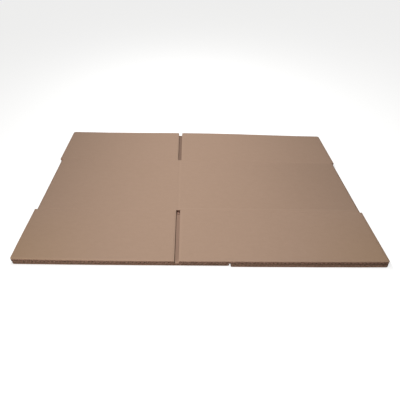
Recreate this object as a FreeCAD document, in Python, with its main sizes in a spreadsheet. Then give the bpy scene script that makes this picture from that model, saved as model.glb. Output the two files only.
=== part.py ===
import FreeCAD, Part
import os
import Sketcher
from FreeCAD import Vector

# A slotted carton of double-wall corrugated board, knocked down flat and lying on its lower layer.
# X runs across both panels, Y from the front flaps to the back flaps, Z up.
# The origin is on the floor, in the middle of the whole outline.

doc = FreeCAD.newDocument("FlattenedCarton")

# Driving sizes in millimetres
sizes = {
    "board_thickness": 7.4,  # double-wall board, outer liner to inner liner
    "narrow_flap": 319.0,  # width of a flap on a narrow panel
    "wide_flap": 424.0,  # width of a flap on a wide panel
    "slot_width": 9.0,  # slot between two flaps
    "flap_length": 163.0,  # score to free edge
    "wall_height": 224.0,  # score to score, the height of the set-up box
    "flap_overhang": 1.8,  # how far the flaps stand out beyond the folded edges
    "joint_gap": 3.0,  # open strip between the lower panels at the glued joint
    "tab_width": 38.0,  # glue tab inside the joint
    "tab_thickness": 1.1,  # glue tab, crushed flat
    "tab_clearance": 0.3,  # air between the glue tab and the upper layer
    "tab_setback": 7.0,  # end of the tab's crease short of the flap score
    "tab_taper": 16.0,  # how much further the free edge of the tab is drawn in
    "tab_ramp": 8.0,  # crushed end of the narrow panel where it turns up into the tab
    "ramp_edge": 2.2,  # board left at the end of that ramp
    "score_width": 8.0,  # crushed valley along a flap score
    "score_outer": 0.8,  # depth of a flap score in the outer liner
    "score_inner": 2.6,  # depth of a flap score in the inner liner
    "crease_width": 6.0,  # valley of the crease between two panels
    "crease_outer": 0.5,  # depth of that crease in the outer liner
    "crease_inner": 1.8,  # depth of that crease in the inner liner
    "short_front": 3.0,  # how much shorter the lower wide flap is at the front
    "short_back": 1.0,  # the same at the back
    "flute_pitch": 7.8,  # crest to crest of the coarse flute
    "flute_rise": 4.0,  # height of the coarse flute between its liners
    "web_side": 0.3,  # half of the fluted web, measured along the board
    "liner_thickness": 0.4,  # inner liner against the coarse flute
    "flute_margin": 1.5,  # least solid strip at the side of a flap
    "flute_stop": 3.0,  # solid strip between the flute ends and the score valley
}

sheet = doc.addObject("Spreadsheet::Sheet", "Sizes")
for row, (alias, value) in enumerate(sizes.items(), start=1):
    sheet.set("A%d" % row, alias)
    sheet.set("B%d" % row, str(value))
    sheet.setAlias("B%d" % row, alias)
doc.recompute()

# Sizes that follow from the driving ones, as expressions on the sheet
floorZ = "0"
board = "Sizes.board_thickness"
upperBottom = "(Sizes.board_thickness + Sizes.tab_thickness + Sizes.tab_clearance)"
stack = "(2 * Sizes.board_thickness + Sizes.tab_thickness + Sizes.tab_clearance)"
reach = "(Sizes.narrow_flap + Sizes.slot_width + Sizes.wide_flap)"
outerX = f"({reach} / 2)"
scoreY = "(Sizes.wall_height / 2)"
freeY = "(Sizes.wall_height / 2 + Sizes.flap_length)"
scoreHalf = "(Sizes.score_width / 2)"
foldX = f"({outerX} - Sizes.flap_overhang - {stack} / 2)"
creaseX = f"(Sizes.narrow_flap + Sizes.slot_width / 2 - {outerX})"
creaseHalf = "(Sizes.crease_width / 2)"
slotRight = f"({creaseX} + Sizes.slot_width / 2)"
jointLeft = f"(-{creaseX})"
jointRight = f"(Sizes.joint_gap - {creaseX})"


def valueOf(expression):
    """The present value of an expression on the sheet."""
    return float(sheet.evalExpression(expression))


def newBody(name):
    body = doc.addObject("PartDesign::Body", name)
    body.Label = name
    return body


def newSketch(body, name, role, offset=None):
    """An empty sketch on one of the body's origin planes, or beside it by an expression."""
    sketch = body.newObject("Sketcher::SketchObject", name)
    plane = next(item for item in body.Origin.OriginFeatures if item.Role == role)
    sketch.AttachmentSupport = (plane, [""])
    sketch.MapMode = "FlatFace"
    if offset:
        sketch.setExpression("AttachmentOffset.Base.z", offset)
    return sketch


def bindPoint(sketch, index, end, name, across=None, up=None):
    """Tie an edge's end, or an arc's centre, to the sketch's origin."""
    for kind, expression in (("DistanceX", across), ("DistanceY", up)):
        if expression is None:
            continue
        number = sketch.addConstraint(
            Sketcher.Constraint(kind, -1, 1, index, end, valueOf(expression)))
        sketch.renameConstraint(number, name + kind[-1])
        sketch.setExpression("Constraints." + name + kind[-1], expression)


def drawLoop(sketch, loop, corners):
    """A closed outline through corners (across, up), each an expression. A third item makes the
    way to the next corner, straight above or below, a half circle: 1 anticlockwise, -1 clockwise."""
    count = len(corners)
    first = sketch.GeometryCount
    places = [Vector(valueOf(corner[0]), valueOf(corner[1]), 0) for corner in corners]
    for step, corner in enumerate(corners):
        start = places[step]
        end = places[(step + 1) % count]
        if len(corner) == 2:
            sketch.addGeometry(Part.LineSegment(start, end), False)
        else:
            bulge = (end - start).cross(Vector(0, 0, corner[2])) * 0.5
            sketch.addGeometry(Part.Arc(start, (start + end) * 0.5 + bulge, end), False)

    def endAt(index, place):
        """1 where the edge's start lies at a place, or 2 where its end does."""
        return 1 if sketch.getPoint(index, 1).distanceToPoint(place) < 1e-6 else 2

    for step in range(count):
        edge = first + step
        following = first + (step + 1) % count
        meeting = places[(step + 1) % count]
        sketch.addConstraint(Sketcher.Constraint(
            "Coincident", edge, endAt(edge, meeting), following, endAt(following, meeting)))
    for step, corner in enumerate(corners):
        edge = first + step
        name = "%s%d" % (loop, step)
        # A corner at the far end of a half circle already has its height from the circle
        afterArc = len(corners[step - 1]) == 3
        bindPoint(sketch, edge, endAt(edge, places[step]), name, corner[0], None if afterArc else corner[1])
        if len(corner) == 3:
            opposite = corners[(step + 1) % count]
            bindPoint(sketch, edge, 3, name + "Centre", corner[0], f"(({corner[1]}) + ({opposite[1]})) / 2")


def addPad(body, name, sketch, length, symmetric=False):
    pad = body.newObject("PartDesign::Pad", name)
    pad.Profile = sketch
    pad.setExpression("Length", length)
    pad.SideType = "Symmetric" if symmetric else "One side"
    body.Tip = pad


def cutScores(body, name, loops, length):
    """Crushed valleys along X, cut from a section that is symmetric about the YZ plane."""
    sketch = newSketch(body, name + "Section", "YZ_Plane")
    for loop, corners in loops:
        drawLoop(sketch, loop, corners)
    pocket = body.newObject("PartDesign::Pocket", name)
    pocket.Profile = sketch
    pocket.setExpression("Length", length)
    pocket.SideType = "Symmetric"
    body.Tip = pocket


def cutFlutes(body, name, side, left, width, low):
    """The coarse flute: two rows of channels from a flap's free edge up to the crushed score,
    which leave a zigzag web between the liners. side is -1 at the front and 1 at the back,
    left and width are the flap's own, and low is the underside of the row."""
    pitch = "Sizes.flute_pitch"
    high = f"({low} + Sizes.flute_rise)"
    count = f"floor(({width} - 2 * Sizes.flute_margin - {pitch} / 2) / {pitch})"
    start = f"({left} + ({width} - {count} * {pitch} - {pitch} / 2) / 2)"
    tip = f"(2 * Sizes.web_side * Sizes.flute_rise / {pitch})"
    sketch = newSketch(body, name + "Section", "XZ_Plane", f"{-side} * {freeY}")
    drawLoop(sketch, "Rising", [
        (f"{start} + Sizes.web_side", low),
        (f"{start} + {pitch} - Sizes.web_side", low),
        (f"{start} + {pitch} / 2", f"{high} - {tip}")])
    drawLoop(sketch, "Falling", [
        (f"{start} + {pitch} / 2 + Sizes.web_side", high),
        (f"{start} + {pitch}", f"{low} + {tip}"),
        (f"{start} + 3 * {pitch} / 2 - Sizes.web_side", high)])
    pocket = body.newObject("PartDesign::Pocket", name)
    pocket.Profile = sketch
    pocket.setExpression("Length", f"Sizes.flap_length - {scoreHalf} - Sizes.flute_stop")
    pocket.Reversed = side > 0
    pattern = body.newObject("PartDesign::LinearPattern", name + "Row")
    pattern.Originals = [pocket]
    pattern.Direction = (sketch, ["H_Axis"])
    pattern.Mode = "Spacing"
    pattern.setExpression("Offset", pitch)
    pattern.setExpression("Occurrences", count)
    body.Tip = pattern


# The panels, folds and lower flaps are one folded sheet, glued at the tab
carton = newBody("carton")

# Section of the flattened tube: lower layer, two rounded folds and upper layer, open at the joint
wallSection = newSketch(carton, "WallSection", "XZ_Plane")
drawLoop(wallSection, "Wall", [
    (jointLeft, floorZ),
    (f"-{foldX}", floorZ, -1),
    (f"-{foldX}", stack),
    (f"{creaseX} - {creaseHalf}", stack),
    (creaseX, f"{stack} - Sizes.crease_outer"),
    (f"{creaseX} + {creaseHalf}", stack),
    (foldX, stack, -1),
    (foldX, floorZ),
    (f"{jointRight} + Sizes.tab_ramp", floorZ),
    (jointRight, f"{board} - Sizes.ramp_edge"),
    (jointRight, board),
    (foldX, board, 1),
    (foldX, upperBottom),
    (f"{creaseX} + {creaseHalf}", upperBottom),
    (creaseX, f"{upperBottom} + Sizes.crease_inner"),
    (f"{creaseX} - {creaseHalf}", upperBottom),
    (f"-{foldX}", upperBottom, 1),
    (f"-{foldX}", board),
    (jointLeft, board)])
addPad(carton, "Walls", wallSection, "Sizes.wall_height", symmetric=True)

# Glue tab: a crushed strip on the lower wide panel, its ends cut back towards its free edge
tabOutline = newSketch(carton, "TabOutline", "XY_Plane", board)
tabRoot = f"({scoreY} - Sizes.tab_setback)"
tabFree = f"({tabRoot} - Sizes.tab_taper)"
drawLoop(tabOutline, "Tab", [
    (f"{jointRight} + Sizes.tab_ramp", f"-{tabRoot}"),
    (f"{jointRight} + Sizes.tab_ramp", tabRoot),
    (f"{jointRight} - Sizes.tab_width", tabFree),
    (f"{jointRight} - Sizes.tab_width", f"-{tabFree}")])
addPad(carton, "GlueTab", tabOutline, "Sizes.tab_thickness")

# Lower flaps: the two wide ones are a little short
lowerFlaps = newSketch(carton, "LowerFlapOutlines", "XY_Plane")
for end, side, short in (("Front", -1, "Sizes.short_front"), ("Back", 1, "Sizes.short_back")):
    drawLoop(lowerFlaps, end + "Wide", [
        (f"-{outerX}", f"{side} * {scoreY}"),
        (f"-{outerX}", f"{side} * ({freeY} - {short})"),
        (jointLeft, f"{side} * ({freeY} - {short})"),
        (jointLeft, f"{side} * {scoreY}")])
    drawLoop(lowerFlaps, end + "Narrow", [
        (jointRight, f"{side} * {scoreY}"),
        (jointRight, f"{side} * {freeY}"),
        (outerX, f"{side} * {freeY}"),
        (outerX, f"{side} * {scoreY}")])
addPad(carton, "LowerFlaps", lowerFlaps, board)

# Score valleys: shallow ones in the outer liners, deep ones on the inside of both layers
outerLoops = []
innerLoops = []
for end, side in (("Front", -1), ("Back", 1)):
    middle = f"{side} * {scoreY}"
    outerLoops.append((end + "Top", [
        (middle, f"{stack} - Sizes.score_outer"),
        (f"{middle} + 2 * {scoreHalf}", f"{stack} + Sizes.score_outer"),
        (f"{middle} - 2 * {scoreHalf}", f"{stack} + Sizes.score_outer")]))
    outerLoops.append((end + "Bottom", [
        (middle, "Sizes.score_outer"),
        (f"{middle} - 2 * {scoreHalf}", "-Sizes.score_outer"),
        (f"{middle} + 2 * {scoreHalf}", "-Sizes.score_outer")]))
    innerLoops.append((end + "Inner", [
        (middle, f"{board} - Sizes.score_inner"),
        (f"{middle} + {scoreHalf}", board),
        (f"{middle} + {scoreHalf}", upperBottom),
        (middle, f"{upperBottom} + Sizes.score_inner"),
        (f"{middle} - {scoreHalf}", upperBottom),
        (f"{middle} - {scoreHalf}", board)]))
cutScores(carton, "OuterScores", outerLoops, f"2 * {reach}")
cutScores(carton, "InnerScores", innerLoops, f"2 * {foldX}")

# Flute ends along the free edges of the lower flaps
lowerRow = f"({board} - Sizes.liner_thickness - Sizes.flute_rise)"
for end, side in (("Front", -1), ("Back", 1)):
    cutFlutes(carton, end + "WideFlutes", side, f"(-{outerX})", f"({outerX} + {jointLeft})", lowerRow)
    cutFlutes(carton, end + "NarrowFlutes", side, jointRight, f"({outerX} - {jointRight})", lowerRow)


def makeUpperFlap(name, side, left, width):
    """One of the four flaps of the upper layer. side is -1 at the front and 1 at the back.
    Its score is half of a valley, and it meets the wall face to face at the crushed neck."""
    body = newBody(name)
    section = newSketch(body, name + "Section", "YZ_Plane", left)
    drawLoop(section, "Flap", [
        (f"{side} * {freeY}", upperBottom),
        (f"{side} * {freeY}", stack),
        (f"{side} * ({scoreY} + {scoreHalf})", stack),
        (f"{side} * {scoreY}", f"{stack} - Sizes.score_outer"),
        (f"{side} * {scoreY}", f"{upperBottom} + Sizes.score_inner"),
        (f"{side} * ({scoreY} + {scoreHalf})", upperBottom)])
    addPad(body, name + "Board", section, width)
    cutFlutes(body, name + "Flutes", side, left, width, f"({upperBottom} + Sizes.liner_thickness)")
    return body


bodies = [carton]
for end, side in (("front", -1), ("back", 1)):
    bodies.append(makeUpperFlap(end + "_narrow_flap", side, f"(-{outerX})", "Sizes.narrow_flap"))
    bodies.append(makeUpperFlap(end + "_wide_flap", side, slotRight, "Sizes.wide_flap"))
doc.recompute()

# Every object has to be sound before anything is written
for item in doc.Objects:
    if "Invalid" in item.State or "Error" in item.State:
        raise RuntimeError("%s failed: %s" % (item.Name, item.State))
for body in bodies:
    if body.Shape.isNull() or not body.Shape.isValid() or len(body.Shape.Solids) != 1:
        raise RuntimeError("%s is not one sound solid" % body.Label)

os.makedirs("parts", exist_ok=True)
for body in bodies:
    body.Shape.exportStep("parts/%s.step" % body.Label)
    print(body.Label, "%.1f cm3" % (body.Shape.Volume / 1000), len(body.Shape.Faces), "faces")
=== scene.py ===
import math

import bmesh
import bpy
from mathutils import Matrix, Vector, noise


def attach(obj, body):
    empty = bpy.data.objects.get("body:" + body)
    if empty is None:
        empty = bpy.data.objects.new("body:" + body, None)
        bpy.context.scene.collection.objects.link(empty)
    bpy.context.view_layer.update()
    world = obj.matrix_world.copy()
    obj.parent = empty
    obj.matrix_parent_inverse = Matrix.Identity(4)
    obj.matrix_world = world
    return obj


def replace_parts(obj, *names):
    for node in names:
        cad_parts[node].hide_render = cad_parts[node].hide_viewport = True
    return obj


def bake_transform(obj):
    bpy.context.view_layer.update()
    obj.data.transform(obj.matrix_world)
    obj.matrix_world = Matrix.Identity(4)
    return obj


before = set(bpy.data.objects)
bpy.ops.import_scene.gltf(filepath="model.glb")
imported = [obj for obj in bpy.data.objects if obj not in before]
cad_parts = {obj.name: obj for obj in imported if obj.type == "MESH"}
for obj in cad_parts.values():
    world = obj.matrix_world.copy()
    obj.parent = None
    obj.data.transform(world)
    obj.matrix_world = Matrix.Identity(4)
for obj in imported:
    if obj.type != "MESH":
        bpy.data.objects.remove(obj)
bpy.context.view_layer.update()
scene = bpy.context.scene

# every mesh is drawn in millimetres and turned into metres when its piece is finished
mm = 0.001

# the folded carton, shared by all its pieces
carton = {
    "outerX": 376.0,      # side edges of the flaps
    "foldLeft": -365.5,   # where the panels start to turn over
    "foldRight": 366.8,
    "scoreY": 112.0,      # score lines of the flaps
    "flapLength": 163.0,
    "stack": 16.2,        # height of both layers
    "slotLeft": -57.0,
    "slotRight": -48.0,
    "jointLeft": 52.5,
    "jointRight": 55.5,
    "scoreHalf": 5.0,     # each score strip reaches this far on both sides
}

# double wall board, from its inner face outwards: liner, coarse flute, liner, fine flute, liner
board = {
    "thickness": 7.4,
    "liner": 0.4,
    "middle": 0.3,
    "medium": 0.42,       # paper of the two flutes, frayed at its cut edge
    "coarsePitch": 7.8,
    "coarseRise": 4.0,
    "coarseSteps": 12,    # faces over one wave
    "finePitch": 3.3,
    "fineSteps": 8,
    "taper": 0.05,        # how much an opened flute narrows inwards
}

# the liner on the outside
kraft = {
    "base": (0.435, 0.295, 0.217),
    "light": (0.478, 0.329, 0.248),
    "dark": (0.388, 0.257, 0.186),
    "fleck": (0.255, 0.161, 0.110),
    # paler paper, for the painted highlights and for the torn tongue
    "paleWearAndHighlight": (0.540, 0.385, 0.290),
    "washboard": 0.035,   # height of the ribs that the flutes press into the liner, mm
    "paintedFillTint": (1.0, 0.985, 0.90),      # painted light: multiplies the colour with a warmer tint towards the front corners, where the fill light outweighs the overhead lamp
}
# the liner on the inside is of a browner paper, made darker also as painted shade for the shadowed slots
innerKraft = {
    "base": (0.365, 0.238, 0.176),
    "light": (0.400, 0.264, 0.196),
    "dark": (0.320, 0.206, 0.150),
    "fleck": (0.215, 0.136, 0.096),
    # paler paper of the torn tongue, partly a painted highlight
    "paleWearAndHighlight": (0.600, 0.440, 0.345),
    "washboard": 0.02,
    "backPaintedShade": 0.75,    # painted shade: darker on the back flaps, for the shadow in the deeper back slot
}
fluting = {
    "base": (0.640, 0.400, 0.320),
    "dark": (0.480, 0.270, 0.200),
    "roughness": 0.95,
}
cutEdge = {
    "base": (0.500, 0.310, 0.240),
    "paintedSlitShade": (0.150, 0.080, 0.050),   # painted shade in the crushed flutes between the liners
    "roughness": 0.95,
    "slitDepth": 0.3,     # mm
}
# patterns of the papers: noise in waves per metre along x, y and z, and how strongly each shows
pattern = {
    "clouds": (9, 7, 9),
    "mottle": (70, 110, 90),
    "fibres": (300, 900, 600),
    "flecks": (500, 900, 700),
    "fluteFibres": (300, 300, 900),
    "slits": (90, 90, 900),
    "cloudShare": 0.16,
    "mottleShare": 0.35,
    "fibreShare": 0.35,
    "fleckShare": 0.5,
    "wearAndHighlightShare": 0.6,
    "relief": 0.05,       # height of the fibres, mm
}


def newMaterial(name):
    material = bpy.data.materials.new(name)
    material.use_nodes = True
    tree = material.node_tree
    shader = tree.nodes["Principled BSDF"]
    return material, tree, shader


def addNode(tree, kind, **settings):
    node = tree.nodes.new(kind)
    for key, value in settings.items():
        setattr(node, key, value)
    return node


# noise on object coordinates, its scale given for x, y and z in waves per metre
def scaledNoise(tree, scale, detail=3.0, roughness=0.5, seed=0.0):
    place = addNode(tree, "ShaderNodeTexCoord")
    mapping = addNode(tree, "ShaderNodeMapping")
    mapping.inputs["Scale"].default_value = scale
    mapping.inputs["Location"].default_value = (seed, seed * 0.7, seed * 1.3)
    texture = addNode(tree, "ShaderNodeTexNoise")
    texture.inputs["Scale"].default_value = 1.0
    texture.inputs["Detail"].default_value = detail
    texture.inputs["Roughness"].default_value = roughness
    tree.links.new(place.outputs["Object"], mapping.inputs["Vector"])
    tree.links.new(mapping.outputs["Vector"], texture.inputs["Vector"])
    return texture.outputs["Fac"]


# a value that goes from start to end while the source goes from low to high
def ramp(tree, source, low, high, start=0.0, end=1.0):
    node = addNode(tree, "ShaderNodeMapRange", clamp=True)
    node.inputs["From Min"].default_value = low
    node.inputs["From Max"].default_value = high
    node.inputs["To Min"].default_value = start
    node.inputs["To Max"].default_value = end
    tree.links.new(source, node.inputs["Value"])
    return node.outputs["Result"]


def mixColour(tree, factor, first, second, blend="MIX"):
    node = addNode(tree, "ShaderNodeMix", data_type="RGBA", blend_type=blend)
    for socket, value in ((node.inputs[0], factor), (node.inputs[6], first), (node.inputs[7], second)):
        if isinstance(value, bpy.types.NodeSocket):
            tree.links.new(value, socket)
        elif isinstance(value, tuple):
            socket.default_value = (*value, 1.0)
        else:
            socket.default_value = value
    return node.outputs[2]


def mathNode(tree, operation, first, second=None):
    node = addNode(tree, "ShaderNodeMath", operation=operation)
    for socket, value in zip(node.inputs, (first, second)):
        if isinstance(value, bpy.types.NodeSocket):
            tree.links.new(value, socket)
        elif value is not None:
            socket.default_value = value
    return node.outputs[0]


def addBump(tree, shader, height, distance, invert=False):
    bump = addNode(tree, "ShaderNodeBump", invert=invert)
    bump.inputs["Distance"].default_value = distance
    tree.links.new(height, bump.inputs["Height"])
    tree.links.new(bump.outputs["Normal"], shader.inputs["Normal"])


def kraftMaterial(name, paper):
    material, tree, shader = newMaterial(name)
    clouds = scaledNoise(tree, pattern["clouds"], detail=2.0, seed=3.1)
    mottle = scaledNoise(tree, pattern["mottle"], detail=4.0, roughness=0.6, seed=11.7)
    fibres = scaledNoise(tree, pattern["fibres"], detail=3.0, roughness=0.65, seed=5.3)
    flecks = scaledNoise(tree, pattern["flecks"], detail=1.0, seed=21.9)
    colour = paper["base"]
    for noiseValue, low, high, share, tone in (
            (clouds, 0.3, 0.7, "cloudShare", "dark"),
            (mottle, 0.35, 0.7, "mottleShare", "light"),
            (fibres, 0.5, 0.72, "fibreShare", "dark"),
            (flecks, 0.74, 0.8, "fleckShare", "fleck")):
        colour = mixColour(tree, ramp(tree, noiseValue, low, high, 0.0, pattern[share]), colour, paper[tone])
    place = addNode(tree, "ShaderNodeTexCoord")
    split = addNode(tree, "ShaderNodeSeparateXYZ")
    tree.links.new(place.outputs["Object"], split.inputs[0])
    # painted light: the warmer tint of the fill light towards the front corners
    if "paintedFillTint" in paper:
        sides = ramp(tree, mathNode(tree, "ABSOLUTE", split.outputs["X"]), 0.20, 0.37)
        front = ramp(tree, split.outputs["Y"], -0.10, -0.26)
        fillTintedColour = mixColour(tree, 1.0, colour, paper["paintedFillTint"], blend="MULTIPLY")
        colour = mixColour(tree, mathNode(tree, "MULTIPLY", sides, front), colour, fillTintedColour)
    # painted shade for the back slot's shadow, on the back flaps' inner liner
    if "backPaintedShade" in paper:
        shade = ramp(tree, split.outputs["Y"], 0.11, 0.13, 1.0, paper["backPaintedShade"])
        colour = mixColour(tree, 1.0, colour, shade, blend="MULTIPLY")
    # paler paper where the attribute asks for it: painted highlights, and the torn tongue partly as one
    paleWearAndHighlight = addNode(tree, "ShaderNodeAttribute", attribute_name="wearAndHighlight")
    wearAndHighlightMix = mathNode(tree, "MULTIPLY", paleWearAndHighlight.outputs["Fac"], pattern["wearAndHighlightShare"])
    tree.links.new(mixColour(tree, wearAndHighlightMix, colour, paper["paleWearAndHighlight"]), shader.inputs["Base Color"])
    tree.links.new(ramp(tree, mottle, 0.3, 0.7, 0.8, 0.92), shader.inputs["Roughness"])
    shader.inputs["Specular IOR Level"].default_value = 0.25
    # faint ribs over the flutes, which run from front to back
    phase = mathNode(tree, "MULTIPLY", split.outputs["X"], 2 * math.pi / (board["coarsePitch"] * mm))
    ribs = mathNode(tree, "MULTIPLY", mathNode(tree, "SINE", phase), paper["washboard"] / 2 * mm)
    relief = mathNode(tree, "MULTIPLY", fibres, pattern["relief"] * mm)
    addBump(tree, shader, mathNode(tree, "ADD", ribs, relief), 1.0)
    return material


def flutingMaterial():
    material, tree, shader = newMaterial("fluting")
    fibres = scaledNoise(tree, pattern["fluteFibres"], detail=3.0, roughness=0.6, seed=8.2)
    colour = mixColour(tree, ramp(tree, fibres, 0.35, 0.7), fluting["base"], fluting["dark"])
    tree.links.new(colour, shader.inputs["Base Color"])
    shader.inputs["Roughness"].default_value = fluting["roughness"]
    shader.inputs["Specular IOR Level"].default_value = 0.15
    addBump(tree, shader, fibres, pattern["relief"] * mm)
    return material


# cut face of crushed board, with slits between its papers painted dark as their shade
def cutMaterial():
    material, tree, shader = newMaterial("cutBoard")
    slits = scaledNoise(tree, pattern["slits"], detail=3.0, roughness=0.6, seed=14.1)
    # painted shade in the slits
    colour = mixColour(tree, ramp(tree, slits, 0.5, 0.62), cutEdge["base"], cutEdge["paintedSlitShade"])
    tree.links.new(colour, shader.inputs["Base Color"])
    shader.inputs["Roughness"].default_value = cutEdge["roughness"]
    shader.inputs["Specular IOR Level"].default_value = 0.15
    addBump(tree, shader, slits, cutEdge["slitDepth"] * mm, invert=True)
    return material


papers = [
    kraftMaterial("kraftLiner", kraft),
    flutingMaterial(),
    kraftMaterial("innerLiner", innerKraft),
    cutMaterial(),
]
outerPaper, flutePaper, innerPaper, cutBoard = range(4)
print("materials made")

facing = 0.9              # share of a normal along an axis past which its face looks that way
slack = 0.1               # tolerance where vertices are picked by their place, mm


# turns a drawing in millimetres into a piece that rides a body
def finishPiece(bm, name, body=None, sharp=32.0):
    bmesh.ops.recalc_face_normals(bm, faces=bm.faces)
    bmesh.ops.scale(bm, vec=(mm, mm, mm), verts=bm.verts)
    mesh = bpy.data.meshes.new(name)
    bm.to_mesh(mesh)
    bm.free()
    mesh.shade_smooth()
    mesh.set_sharp_from_angle(angle=math.radians(sharp))
    for paper in papers:
        mesh.materials.append(paper)
    piece = bpy.data.objects.new(name, mesh)
    scene.collection.objects.link(piece)
    if body:
        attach(piece, body)
    return piece


# a flat grid whose lines stand at the given stations
def stationGrid(bm, across, along, height):
    grid = bmesh.ops.create_grid(bm, x_segments=len(across) - 1, y_segments=len(along) - 1, size=0.5)
    for vert in grid["verts"]:
        column = round((vert.co.x + 0.5) * (len(across) - 1))
        row = round((vert.co.y + 0.5) * (len(along) - 1))
        vert.co = Vector((across[column], along[row], height))
    return grid["verts"]


# how pale the paper is at a vertex, read by its material: painted highlights on the crease and beside the
# front score, and the torn tongue's pale paper, which is partly a painted highlight
def wearAndHighlightLayer(bm):
    return bm.verts.layers.float.get("wearAndHighlight") or bm.verts.layers.float.new("wearAndHighlight")


def facesOf(verts):
    return list(dict.fromkeys(face for vert in verts for face in vert.link_faces))


# raises a closed plate from a flat grid and returns all its vertices
def thicken(bm, verts, thickness):
    grown = bmesh.ops.extrude_face_region(bm, geom=facesOf(verts))
    raised = [item for item in grown["geom"] if isinstance(item, bmesh.types.BMVert)]
    bmesh.ops.translate(bm, vec=(0, 0, thickness), verts=raised)
    return list(verts) + raised


# opens the flutes in a cut face, between the liners that are left at its rim
def openCut(bm, faces, depth):
    for face in faces:
        face.normal_update()
    for inward, deep in ((board["liner"], 0.0), (board["taper"], depth)):
        bmesh.ops.inset_region(bm, faces=faces, thickness=inward, depth=-deep, use_even_offset=True,
                               use_boundary=True)


def spaced(start, end, count):
    return [start + (end - start) * step / count for step in range(count + 1)]


flapSizes = {
    "start": 5.0,           # the layers begin here, past the crushed score
    "edgeSteps": [0.0, 0.5, 1.2, 2.4, 4.5, 8.0],      # rows of faces in from each cut edge
    "linerRows": [40.0, 80.0, 120.0],                 # and further rows out from the score
    "fluteRows": [60.0, 110.0],
    "fluteSteps": [8.0, 3.0, 1.2, 0.3],               # the flutes end a little inside the liners
    "fluteMargin": 0.5,
    "columns": 12,                                    # columns of faces between the side edges' steps
    "scoreRows": 20,
    "sidePress": 0.20,      # share of the thickness that the slotting knives crush
    "sideReach": 2.6,
    "endPress": 0.19,       # the same at the free edge
    "endReach": 2.0,
    "waver": 0.35,          # unevenness of the flutes along their row
    "driftWave": (31, 90),  # its wavelengths across and along a flap, mm
    "localWave": (7, 24),   # the same for the flutes' ends
    "pressWave": 40,        # the same for the crushed edges
    "scoreOuter": 0.35,     # depths of the score's two valleys
    "scoreInner": 1.9,
    "lowerInner": 0.9,      # depth of the inner valley in the lower layer, which was pressed flat
    "valley": 4.0,          # half width of a valley
    "bow": 3.4,             # rise of the back free edges, highest at bowMiddle
    "bowMiddle": 30.0,
    "bowHalf": 330.0,
    "cornerRise": {         # rise of the front free edges towards their outer corners
        ("upper", -1): 3.6,
        ("lower", -1): 1.7,
        ("upper", 1): 1.9,
        ("lower", 1): 1.3,
    },
    "cornerRound": 3.5,     # radius of the outer corners
    "drawIn": {-1: 2.4, 1: 0.8},     # how far the front outer corners are drawn in at each side
    "sidePocket": 1.2,      # depth of the open flute in the strip's cut sides
}
flaps = [
    # name, CAD body, x of the inner side edge, side, end, layer, how much shorter than the others it is
    ("frontNarrowFlap", "front_narrow_flap", carton["slotLeft"], -1, -1, "upper", 0.0),
    ("frontWideFlap", "front_wide_flap", carton["slotRight"], 1, -1, "upper", 0.0),
    ("backNarrowFlap", "back_narrow_flap", carton["slotLeft"], -1, 1, "upper", 0.0),
    ("backWideFlap", "back_wide_flap", carton["slotRight"], 1, 1, "upper", 0.0),
    ("frontLowerWideFlap", "carton", carton["jointLeft"], -1, -1, "lower", 3.0),
    ("frontLowerNarrowFlap", "carton", carton["jointRight"], 1, -1, "lower", 0.0),
    ("backLowerWideFlap", "carton", carton["jointLeft"], -1, 1, "lower", 1.0),
    ("backLowerNarrowFlap", "carton", carton["jointRight"], 1, 1, "lower", 0.0),
]


# takes a flap from its own frame to where it lies. Its frame runs across from its inner edge, out
# from its score and up from its inner face
def placeFlap(bm, inner, side, end, layer):
    up = 1 if layer == "upper" else -1
    floor = carton["stack"] - board["thickness"] if layer == "upper" else board["thickness"]
    matrix = Matrix((
        (side, 0, 0, inner),
        (0, end, 0, end * carton["scoreY"]),
        (0, 0, up, floor),
        (0, 0, 0, 1)))
    bmesh.ops.transform(bm, matrix=matrix, verts=bm.verts)


def edgeStations(width, middle):
    near = flapSizes["edgeSteps"]
    between = spaced(near[-1], width - near[-1], middle)[1:-1]
    return near + between + [width - step for step in reversed(near)]


def addLiner(bm, width, low, thickness):
    length = carton["flapLength"]
    along = [flapSizes["start"]] + flapSizes["linerRows"]
    along += [length - step for step in reversed(flapSizes["edgeSteps"])]
    verts = thicken(bm, stationGrid(bm, edgeStations(width, flapSizes["columns"]), along, low), thickness)
    if low == 0:
        for face in facesOf(verts):
            face.material_index = innerPaper


# a wavy medium between two liners, open at the free edge
def addFlute(bm, width, low, rise, pitch, steps, seed):
    length = carton["flapLength"]
    stroke, margin = board["medium"], flapSizes["fluteMargin"]
    count = round((width - 2 * margin) / pitch * steps)
    along = [flapSizes["start"]] + flapSizes["fluteRows"]
    along += [length - step for step in flapSizes["fluteSteps"]]
    verts = stationGrid(bm, spaced(margin, width - margin, count), along, 0)
    (driftX, driftY), (localX, localY) = flapSizes["driftWave"], flapSizes["localWave"]
    for vert in verts:
        drift = noise.noise(Vector((vert.co.x / driftX, vert.co.y / driftY, seed)))
        local = noise.noise(Vector((vert.co.x / localX, vert.co.y / localY, seed + 9)))
        phase = (vert.co.x + flapSizes["waver"] * drift) / pitch * 2 * math.pi
        wave = 0.5 - 0.5 * math.cos(phase + seed)
        vert.co.z = low + stroke / 2 + (rise - stroke) * wave
        vert.co.y += flapSizes["waver"] * local if vert.co.y > length - 1 else 0
    faces = facesOf(verts)
    before = set(bm.faces) - set(faces)
    bmesh.ops.recalc_face_normals(bm, faces=faces)
    bmesh.ops.solidify(bm, geom=faces, thickness=stroke)
    made = [face for face in bm.faces if face not in before]
    moved = list(dict.fromkeys(vert for face in made for vert in face.verts))
    middle = sum(vert.co.z for vert in moved) / len(moved)
    bmesh.ops.translate(bm, vec=(0, 0, low + rise / 2 - middle), verts=moved)
    for face in made:
        face.material_index = flutePaper


def smoothStep(value):
    value = min(max(value, 0.0), 1.0)
    return value * value * (3 - 2 * value)


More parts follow.
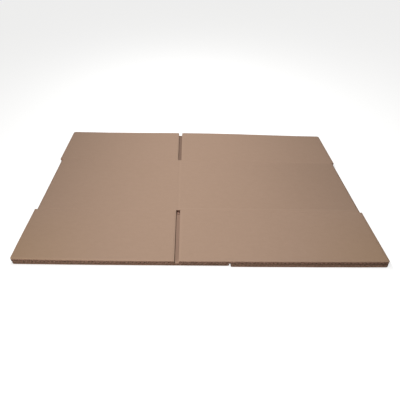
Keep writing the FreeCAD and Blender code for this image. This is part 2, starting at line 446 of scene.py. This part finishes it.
# crushes the board a little along its cut edges, rounds its outer corner and draws a short flap's
# free edge in
def pressEdges(verts, width, short=0.0):
    start, length = flapSizes["start"], carton["flapLength"]
    centre, wave = board["thickness"] / 2, flapSizes["pressWave"]
    for vert in verts:
        side = max(min(vert.co.x, width - vert.co.x), 0.0)
        end = length - vert.co.y
        press = flapSizes["sidePress"] * math.exp(-(side / flapSizes["sideReach"]) ** 2)
        press *= smoothStep(vert.co.y / start)
        press += flapSizes["endPress"] * math.exp(-(end / flapSizes["endReach"]) ** 2)
        press *= 1 + 0.5 * noise.noise(Vector((vert.co.x / wave, vert.co.y / wave, 3.0)))
        vert.co.z = centre + (vert.co.z - centre) * (1 - press)
        blunt = flapSizes["cornerRound"]
        inX, inY = blunt - (width - vert.co.x), blunt - (length - vert.co.y)
        if inX > 0 and inY > 0 and math.hypot(inX, inY) > blunt:
            share = blunt / math.hypot(inX, inY)
            vert.co.x -= inX * (1 - share)
            vert.co.y -= inY * (1 - share)
        vert.co.y -= short * max(vert.co.y - start, 0.0) / (length - start)


# the free edges don't lie quite straight: the back ones bow up, and the front ones rise and draw in
# at their outer corners
def warpFlap(bm, side, end, layer):
    for vert in bm.verts:
        past = max(abs(vert.co.y) - carton["scoreY"] - flapSizes["start"], 0.0)
        share = past / (carton["flapLength"] - flapSizes["start"])
        if end > 0:
            along = min(abs(vert.co.x - flapSizes["bowMiddle"]) / flapSizes["bowHalf"], 1.0)
            rise = flapSizes["bow"] * math.cos(math.pi / 2 * along) ** 2
        else:
            rise = flapSizes["cornerRise"][layer, side] * (abs(vert.co.x) / carton["outerX"]) ** 3
            drawn = flapSizes["drawIn"][side] * max(side * vert.co.x / carton["outerX"], 0.0) ** 4
            vert.co.x -= side * drawn * share ** 3
        vert.co.z += rise * share ** 2


# depth of a score's valley at a distance from its line, as a share of the full depth
def valleyShare(distance):
    return 0.5 + 0.5 * math.cos(math.pi * min(abs(distance) / flapSizes["valley"], 1.0))


# the crushed board over a score, with a valley in each face. It reaches onto the panel up to the
# fold, and onto the flap over its whole width
def addScoreStrip(bm, width, foldAt, valley):
    half = carton["scoreHalf"]
    across = edgeStations(width, flapSizes["columns"])
    across = sorted([step for step in across if abs(step - foldAt) > 0.4] + [foldAt])
    along = spaced(-half, half, flapSizes["scoreRows"])
    verts = stationGrid(bm, across, along, 0)
    outside = [face for face in facesOf(verts)
               if face.calc_center_median().x > foldAt and face.calc_center_median().y < 0]
    bmesh.ops.delete(bm, geom=outside, context="FACES")
    verts = thicken(bm, [vert for vert in verts if vert.is_valid], board["thickness"])
    for vert in verts:
        if vert.co.z > board["thickness"] / 2:
            vert.co.z -= flapSizes["scoreOuter"] * valleyShare(vert.co.y)
        else:
            vert.co.z += valley * valleyShare(vert.co.y)
    pressEdges(verts, width)
    faces = facesOf(verts)
    for face in faces:
        face.normal_update()
        if abs(face.normal.z) < 0.2:
            face.material_index = cutBoard
        elif face.calc_center_median().z < board["thickness"] * 0.45:
            face.material_index = innerPaper
    for side in (0.0, width):
        cut = [face for face in faces if abs(face.normal.x) > facing and face.calc_center_median().y > 0
               and abs(face.calc_center_median().x - side) < 0.01]
        openCut(bm, cut, flapSizes["sidePocket"])


def makeFlap(name, body, inner, side, end, layer, short):
    width = abs(side * carton["outerX"] - inner)
    foldAt = abs((carton["foldLeft"] if side < 0 else carton["foldRight"]) - inner)
    liner, middle, rise = board["liner"], board["middle"], board["coarseRise"]
    fineLow = liner + rise + middle
    fineRise = board["thickness"] - fineLow - liner
    bm = bmesh.new()
    wearAndHighlightLayer(bm)
    addLiner(bm, width, 0, liner)
    addFlute(bm, width, liner, rise, board["coarsePitch"], board["coarseSteps"], 1.0 + side)
    addLiner(bm, width, liner + rise, middle)
    addFlute(bm, width, fineLow, fineRise, board["finePitch"], board["fineSteps"], 4.0 + end)
    addLiner(bm, width, board["thickness"] - liner, liner)
    pressEdges(bm.verts, width, short)
    if layer == "lower":
        addScoreStrip(bm, width, foldAt, flapSizes["lowerInner"])
    placeFlap(bm, inner, side, end, layer)
    warpFlap(bm, side, end, layer)
    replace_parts(finishPiece(bm, name, body), body)
    if layer == "lower":
        return
    # an upper flap's score strip, which lies between its panel and the flap, is a piece of its own that rides
    # no body
    strip = bmesh.new()
    wearAndHighlightLayer(strip)
    addScoreStrip(strip, width, foldAt, flapSizes["scoreInner"])
    placeFlap(strip, inner, side, end, layer)
    score = finishPiece(strip, name + "Score")
    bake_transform(score)
    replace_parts(score, body)


for flap in flaps:
    makeFlap(*flap)
print("flaps made:", len(flaps))


walls = {
    "creaseX": -52.5,
    "creaseHalf": 3.0,
    "creaseDepth": 0.35,
    "creaseSlope": 0.75,   # share of its depth at its line's edges
    "creaseLine": 1.8,     # half width of its paler line, a painted highlight on its right slope, which faces the light
    # painted highlights, as shares of the paler paper: on the crease and beside the front score
    "creaseHighlight": 0.16,
    "scoreHighlight": 0.3,      # painted highlight: the wide panel is a little paler beside its front score, on the score's slope that faces the light
    "scoreHighlightAt": 104.5,
    "scoreHighlightHalf": 1.8,
    "scoreHighlightRows": [-106.0, -105.0, -104.0, -103.0, -101.5, -100.0],
    "tongueFoot": (4.6, -1.0),       # inner liner bent down at the end of the front slot: out and up, mm
    "tongueLip": (2.6, 0.9),
    "frontBridge": 3.4,    # how far the board between the slots reaches past the score strips' start
    "backBridge": 8.5,
    "bridgeInner": 0.4,    # depth of the inner valley under that board
    "endRows": 10,         # rows of faces over each end's share of the score
    "endPocket": 3.5,      # depth of the open flutes in its cut ends
    "foldSteps": 12,
    "rampWidth": 8.0,      # crushed edge of the lower narrow panel at the joint
    "rampEdge": 2.2,
}


def makeWalls():
    bm = bmesh.new()
    wearAndHighlight = wearAndHighlightLayer(bm)
    stack, foldLeft, foldRight = carton["stack"], carton["foldLeft"], carton["foldRight"]
    crease, half = walls["creaseX"], walls["creaseHalf"]

    def run(last, places):
        for x, z in places:
            vert = bm.verts.new((x, 0, z))
            if last:
                bm.edges.new((last, vert))
            last = vert
        return last

    def turn(last, x, angle):
        arc = bmesh.ops.spin(bm, geom=[last], cent=(x, 0, stack / 2), axis=(0, -1, 0), angle=angle,
                             steps=walls["foldSteps"])
        return next(item for item in arc["geom_last"] if isinstance(item, bmesh.types.BMVert))

    # outer contour of the tube, round from one edge of the joint to the other
    joint = carton["jointRight"]
    last = run(None, [(joint, 0), (joint + walls["rampWidth"], 0), (foldRight, 0)])
    last = turn(last, foldRight, math.pi)
    line, bottom = walls["creaseLine"], stack - walls["creaseDepth"]
    slope = stack - walls["creaseDepth"] * walls["creaseSlope"]
    last = run(last, [(carton["slotRight"], stack), (crease + half, stack), (crease + line, slope),
                      (crease, bottom), (crease - line, slope), (crease - half, stack),
                      (carton["slotLeft"], stack), (foldLeft, stack)])
    last = turn(last, foldLeft, math.pi)
    run(last, [(carton["jointLeft"], 0)])

    inner = carton["scoreY"] - carton["scoreHalf"]
    rows = spaced(-carton["scoreY"], -inner, walls["endRows"]) + walls["scoreHighlightRows"]
    rows += spaced(inner, carton["scoreY"], walls["endRows"])
    bmesh.ops.translate(bm, vec=(0, rows[0], 0), verts=bm.verts)
    edges = list(bm.edges)
    for near, far in zip(rows, rows[1:]):
        grown = bmesh.ops.extrude_edge_only(bm, edges=edges)["geom"]
        edges = [item for item in grown if isinstance(item, bmesh.types.BMEdge)]
        raised = [item for item in grown if isinstance(item, bmesh.types.BMVert)]
        bmesh.ops.translate(bm, vec=(0, far - near, 0), verts=raised)

    # past the score strips' inner edges only the folds and the bridge between the slots go on
    def isCut(face):
        place = face.calc_center_median()
        bridge = carton["slotLeft"] < place.x < carton["slotRight"] and place.z > stack / 2
        return abs(place.y) > inner and foldLeft < place.x < foldRight and not bridge

    bmesh.ops.delete(bm, geom=[face for face in bm.faces if isCut(face)], context="FACES")
    bmesh.ops.recalc_face_normals(bm, faces=bm.faces)
    top = next(face for face in bm.faces if face.calc_center_median().z > stack - 0.05)
    if top.normal.z < 0:
        bmesh.ops.reverse_faces(bm, faces=bm.faces)
    bmesh.ops.solidify(bm, geom=list(bm.faces), thickness=board["thickness"])
    for vert in bm.verts:
        if abs(vert.co.x - joint) < slack and vert.co.z < slack:
            vert.co.z = board["thickness"] - walls["rampEdge"]
        up = vert.co.z - stack / 2
        between = foldLeft - 2 < vert.co.x < foldRight + 2
        outside = abs(up) > stack / 2 - 1 or not between
        distance = carton["scoreY"] - abs(vert.co.y)
        if outside:
            vert.co.z -= flapSizes["scoreOuter"] * valleyShare(distance) * up / (stack / 2)
            # painted highlights on the crease's right slope and beside the wide panel's front score
            atCrease = math.exp(-((vert.co.x - crease - line) / line) ** 2) if up > 0 else 0.0
            beside = math.exp(-((vert.co.y + walls["scoreHighlightAt"]) / walls["scoreHighlightHalf"]) ** 2)
            onWide = up > 0 and vert.co.x > crease + half
            vert[wearAndHighlight] = max(walls["creaseHighlight"] * atCrease, walls["scoreHighlight"] * beside if onWide else 0.0)
        elif foldLeft + 1 < vert.co.x < foldRight - 1:
            bridge = carton["slotLeft"] - slack < vert.co.x < carton["slotRight"] + slack
            deep = flapSizes["scoreInner"] if up > 0 else flapSizes["lowerInner"]
            deep = walls["bridgeInner"] if up > 0 and bridge else deep
            vert.co.z += math.copysign(deep * valleyShare(distance), up)
    for face in bm.faces:
        face.normal_update()
        place = face.calc_center_median()
        inside = abs(place.z - stack / 2) < stack / 2 - board["thickness"] + slack
        atJoint = abs(face.normal.x) > facing and foldLeft < place.x < foldRight
        if abs(face.normal.y) > facing or atJoint:
            face.material_index = cutBoard
        elif inside and foldLeft - 2 < place.x < foldRight + 2:
            face.material_index = innerPaper
    bmesh.ops.recalc_face_normals(bm, faces=bm.faces)
    for vert in bm.verts:
        if carton["slotLeft"] - slack < vert.co.x < carton["slotRight"] + slack and vert.co.z > stack / 2:
            past = abs(vert.co.y) - inner
            longer = walls["frontBridge"] if vert.co.y < 0 else walls["backBridge"]
            if past > 0:
                vert.co.y = math.copysign(inner + past * longer / carton["scoreHalf"], vert.co.y)
    for end in (-1, 1):
        ends = [face for face in bm.faces if face.normal.y * end > facing
                and abs(face.calc_center_median().y) > inner + 2]
        for low, high in ((-carton["outerX"], foldLeft), (carton["slotLeft"], carton["slotRight"]),
                          (foldRight, carton["outerX"])):
            cut = [face for face in ends if low < face.calc_center_median().x < high]
            openCut(bm, cut, walls["endPocket"])
    # the inner liner's edge at the end of the front slot, pale as torn paper and partly as a painted highlight
    front = min(vert.co.y for vert in bm.verts if abs(vert.co.x - crease) < 2 * half and vert.co.z > stack / 2)
    foot = stack - board["thickness"] + walls["bridgeInner"] + board["liner"] / 2
    lip = foot + board["liner"] + slack
    for vert in bm.verts:
        inTongue = crease - half < vert.co.x < carton["slotRight"] and stack / 2 < vert.co.z < lip
        if inTongue and vert.co.y < front + slack:
            out, up = walls["tongueFoot"] if vert.co.z < foot else walls["tongueLip"]
            vert.co += Vector((0, -out, up))
            # pale paper of the torn tongue, partly a painted highlight
            vert[wearAndHighlight] = 1.0
            for face in vert.link_faces:
                if abs(face.normal.y) > facing:
                    face.material_index = outerPaper
    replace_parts(finishPiece(bm, "walls", "carton"), "carton")


makeWalls()

glueTab = {
    "left": 17.5,
    "right": 63.5,
    "rootHalf": 105.0,
    "freeHalf": 89.0,
    "thickness": 1.1,
    "round": 0.4,
}


def makeGlueTab():
    bm = bmesh.new()
    wearAndHighlightLayer(bm)
    verts = stationGrid(bm, [glueTab["left"], glueTab["right"]], [-1, 1], board["thickness"])
    middle = (glueTab["left"] + glueTab["right"]) / 2
    for vert in verts:
        vert.co.y *= glueTab["rootHalf"] if vert.co.x > middle else glueTab["freeHalf"]
    thicken(bm, verts, glueTab["thickness"])
    above = board["thickness"] + glueTab["thickness"] / 2
    upper = [edge for edge in bm.edges if all(vert.co.z > above for vert in edge.verts)]
    bmesh.ops.bevel(bm, geom=upper, offset=glueTab["round"], segments=2, profile=0.5, affect="EDGES",
                    material=-1)
    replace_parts(finishPiece(bm, "glueTab", "carton"), "carton")


makeGlueTab()
print("walls and glue tab made")


camera = {
    "place": (-0.0383, -0.8385, 0.5746),
    "pitch": 35.990,       # down
    "yaw": 2.7505,         # to the right
    "roll": 2.335,
    "lens": 35.923,
    "sensor": 36.0,
}


def makeCamera():
    lens = bpy.data.cameras.new("camera")
    lens.sensor_width = camera["sensor"]
    lens.lens = camera["lens"]
    lens.clip_start = 0.01
    eye = bpy.data.objects.new("camera", lens)
    scene.collection.objects.link(eye)
    turn = Matrix.Rotation(math.radians(-camera["yaw"]), 4, "Z")
    tilt = Matrix.Rotation(math.radians(90 - camera["pitch"]), 4, "X")
    roll = Matrix.Rotation(math.radians(camera["roll"]), 4, "Z")
    eye.matrix_world = Matrix.Translation(camera["place"]) @ turn @ tilt @ roll
    scene.camera = eye


floor = {
    "size": 40.0,
    "albedo": 0.5,         # what the floor gives back to the object
    "seen": 0.8,           # added for the camera, so that the lit floor is white
}


# 1 for rays that show a surface to the camera, and 0 for those that only light the object
def seenShare(tree):
    path = addNode(tree, "ShaderNodeLightPath")
    seen = mathNode(tree, "ADD", path.outputs["Is Camera Ray"], path.outputs["Is Glossy Ray"])
    seen = mathNode(tree, "ADD", seen, path.outputs["Is Transmission Ray"])
    return mathNode(tree, "MINIMUM", seen, 1.0)


def makeFloor():
    bm = bmesh.new()
    bmesh.ops.create_grid(bm, x_segments=4, y_segments=4, size=floor["size"] / 2)
    mesh = bpy.data.meshes.new("floor")
    bm.to_mesh(mesh)
    bm.free()
    ground = bpy.data.objects.new("floor", mesh)
    scene.collection.objects.link(ground)
    material = bpy.data.materials.new("floorPaper")
    material.use_nodes = True
    tree = material.node_tree
    tree.nodes.clear()
    output = addNode(tree, "ShaderNodeOutputMaterial")
    matt = addNode(tree, "ShaderNodeBsdfDiffuse")
    matt.inputs["Color"].default_value = (floor["albedo"], floor["albedo"], floor["albedo"], 1)
    glow = addNode(tree, "ShaderNodeEmission")
    tree.links.new(mathNode(tree, "MULTIPLY", seenShare(tree), floor["seen"]), glow.inputs["Strength"])
    both = addNode(tree, "ShaderNodeAddShader")
    tree.links.new(matt.outputs[0], both.inputs[0])
    tree.links.new(glow.outputs[0], both.inputs[1])
    tree.links.new(both.outputs[0], output.inputs["Surface"])
    mesh.materials.append(material)


lights = {
    # name: place, aim, width, depth, power, tint
    "overhead": ((-0.15, 0.108, 0.735), (0.29, 0.106, 0.0), 1.576, 0.05, 7.5, (1.0, 0.995, 0.985)),
    "front": ((-0.45, -1.0, 0.20), (0.0, -0.275, 0.0), 0.3, 0.15, 3.5, (1.0, 0.96, 0.88)),
}
skyLight = 0.10            # even light from all round
skyTint = (1.0, 0.97, 0.88)


def makeLights():
    for name, (place, aim, width, depth, power, tint) in lights.items():
        lamp = bpy.data.lights.new(name, "AREA")
        lamp.shape = "RECTANGLE"
        lamp.size = width
        lamp.size_y = depth
        lamp.energy = power
        lamp.color = tint
        holder = bpy.data.objects.new(name, lamp)
        scene.collection.objects.link(holder)
        turn = (Vector(aim) - Vector(place)).to_track_quat("-Z", "Y").to_matrix().to_4x4()
        holder.matrix_world = Matrix.Translation(place) @ turn
    world = bpy.data.worlds.new("studio")
    scene.world = world
    world.use_nodes = True
    tree = world.node_tree
    tree.nodes.clear()
    output = addNode(tree, "ShaderNodeOutputWorld")
    sky = addNode(tree, "ShaderNodeBackground")
    seen = seenShare(tree)
    strength = mathNode(tree, "ADD", mathNode(tree, "MULTIPLY", seen, 1.0 - skyLight), skyLight)
    tree.links.new(strength, sky.inputs["Strength"])
    tree.links.new(mixColour(tree, seen, skyTint, (1.0, 1.0, 1.0)), sky.inputs["Color"])
    tree.links.new(sky.outputs[0], output.inputs["Surface"])


makeCamera()
makeFloor()
makeLights()
scene.view_settings.view_transform = "Standard"
print("camera, floor and light made")
